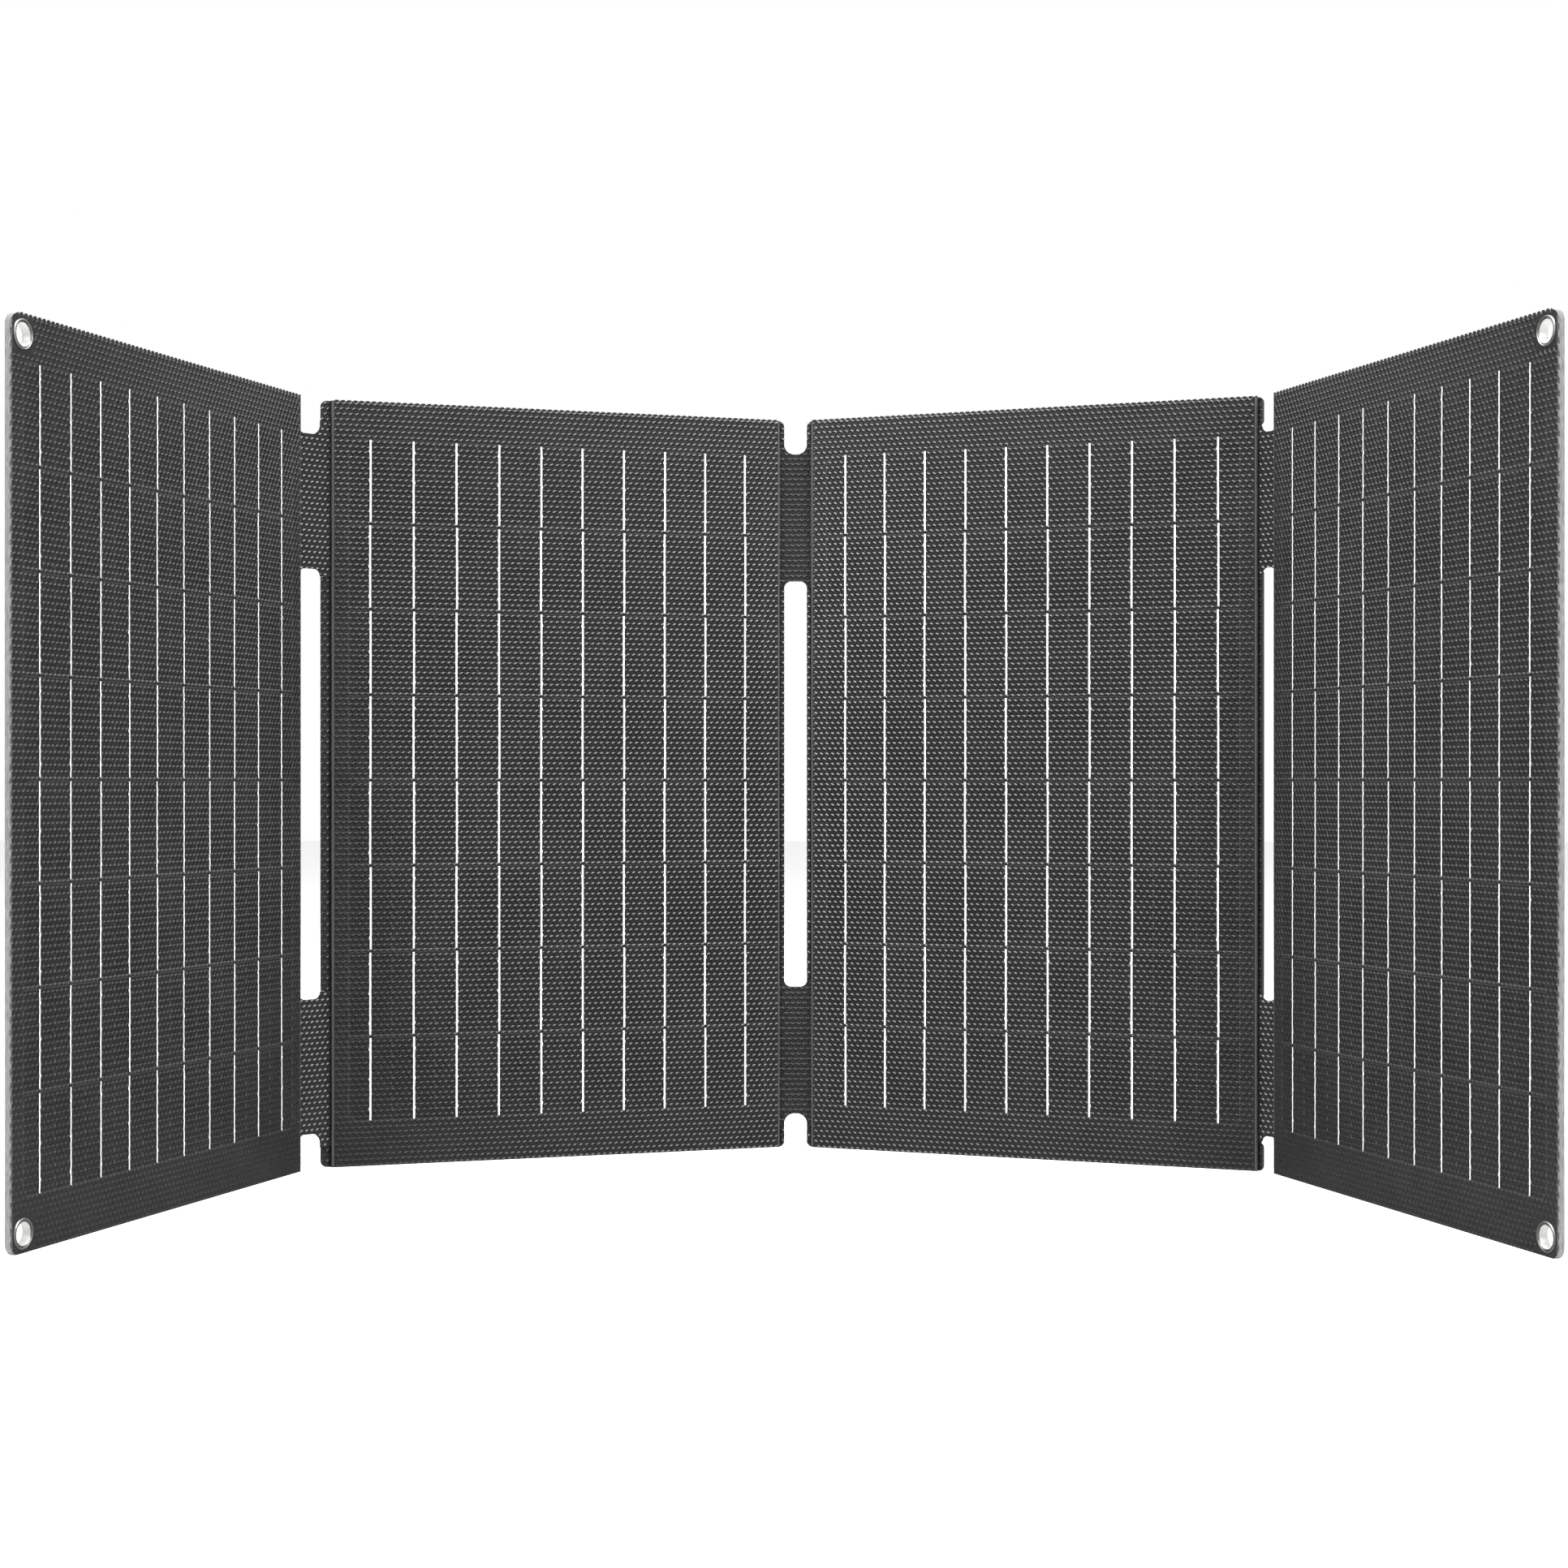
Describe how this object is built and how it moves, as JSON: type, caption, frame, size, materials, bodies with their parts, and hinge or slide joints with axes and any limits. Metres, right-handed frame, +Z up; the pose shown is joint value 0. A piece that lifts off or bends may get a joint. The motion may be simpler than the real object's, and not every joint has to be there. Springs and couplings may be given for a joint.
{
  "type": "folding solar blanket",
  "caption": "Folding solar blanket: rigid solar boards joined by soft webs, with corner eyelets, standing like a folding screen.",
  "frame": {"origin": "middle of the footprint, on the ground that the panels' lower edges stand on", "axes": "+X to the right along the row of panels as seen from the cell side, +Y from the cell side to the back, +Z up"},
  "size_m": [0.5262, 0.2652, 0.32],
  "materials": {
    "film": "embossed clear film over black",
    "fabric": "woven polyester",
    "board": "glass-fibre laminate with a sawn edge",
    "encapsulant": "clear sheet over black",
    "cell": "dark silicon",
    "ribbon": "printed silver",
    "copper": "tinned copper",
    "eyelet": "nickel plated",
    "box_shell": "moulded plastic with a fine texture",
    "rubber": "matt rubber",
    "circuit": "green solder mask",
    "component": "moulded components",
    "steel": "plated steel",
    "lens": "frosted light pipe"
  },
  "bodies": {
    "panel_1": {"backing_1": "fabric", "board_1": "board", "encapsulant_1": "encapsulant", "cells_1": "cell", "ribbons_1": "ribbon", "film_1": "film", "eyelets_1": "eyelet", "eyelet_washers_1": "eyelet"},
    "panel_2": {"backing_2": "fabric", "board_2": "board", "encapsulant_2": "encapsulant", "cells_2": "cell", "ribbons_2": "ribbon", "film_2": "film"},
    "panel_3": {"backing_3": "fabric", "board_3": "board", "encapsulant_3": "encapsulant", "cells_3": "cell", "ribbons_3": "ribbon", "film_3": "film"},
    "panel_4": {"backing_4": "fabric", "board_4": "board", "encapsulant_4": "encapsulant", "cells_4": "cell", "ribbons_4": "ribbon", "film_4": "film", "eyelets_4": "eyelet", "eyelet_washers_4": "eyelet", "box_base": "box_shell", "box_lid": "box_shell", "lid_gasket": "rubber", "lid_screws": "steel", "circuit_board": "circuit", "circuit_parts": "component", "output_tabs": "copper", "dc_jack": "component", "usb_a_socket": "steel", "usb_c_socket": "steel", "status_lens": "lens", "cover_pin": "steel"},
    "web_1": {"fold_jumpers_1": "copper", "web_1_upper_fabric": "fabric", "web_1_upper_film": "film", "web_1_lower_fabric": "fabric", "web_1_lower_film": "film"},
    "web_2": {"fold_jumpers_2": "copper", "web_2_upper_fabric": "fabric", "web_2_upper_film": "film", "web_2_lower_fabric": "fabric", "web_2_lower_film": "film"},
    "web_3": {"fold_jumpers_3": "copper", "web_3_upper_fabric": "fabric", "web_3_upper_film": "film", "web_3_lower_fabric": "fabric", "web_3_lower_film": "film"},
    "port_cover": {"port_cover": "rubber"}
  },
  "joints": [
    {"name": "fold_1_inner", "type": "hinge", "parent": "panel_2", "child": "web_1", "pos_m": [-0.19466, 0.06715, 0.16], "axis": [0, 0, 1], "range_deg": [-27, 63]},
    {"name": "fold_1_outer", "type": "hinge", "parent": "web_1", "child": "panel_1", "pos_m": [-0.20494, 0.0565, 0.16], "axis": [0, 0, 1], "range_deg": [-27, 63]},
    {"name": "fold_2_inner", "type": "hinge", "parent": "web_2", "child": "panel_2", "pos_m": [-0.00726, 0.13168, 0.16], "axis": [0, 0, 1], "range_deg": [-109, 21]},
    {"name": "fold_2_outer", "type": "hinge", "parent": "web_2", "child": "panel_3", "pos_m": [0.00554, 0.13168, 0.16], "axis": [0, 0, -1], "range_deg": [-109, 21]},
    {"name": "fold_3_inner", "type": "hinge", "parent": "panel_3", "child": "web_3", "pos_m": [0.19294, 0.06715, 0.16], "axis": [0, 0, -1], "range_deg": [-26, 64]},
    {"name": "fold_3_outer", "type": "hinge", "parent": "web_3", "child": "panel_4", "pos_m": [0.19846, 0.06163, 0.16], "axis": [0, 0, -1], "range_deg": [-26, 64]},
    {"name": "port_cover_hinge", "type": "hinge", "parent": "panel_4", "child": "port_cover", "pos_m": [0.23294, -0.0313, 0.1605], "axis": [-0.3256, 0.9455, 0], "range_deg": [0, 88]}
  ],
  "couplings": [
    {"joint": "fold_1_outer", "follows": "fold_1_inner", "ratio": 1},
    {"joint": "fold_2_outer", "follows": "fold_2_inner", "ratio": 1},
    {"joint": "fold_3_outer", "follows": "fold_3_inner", "ratio": 1}
  ]
}
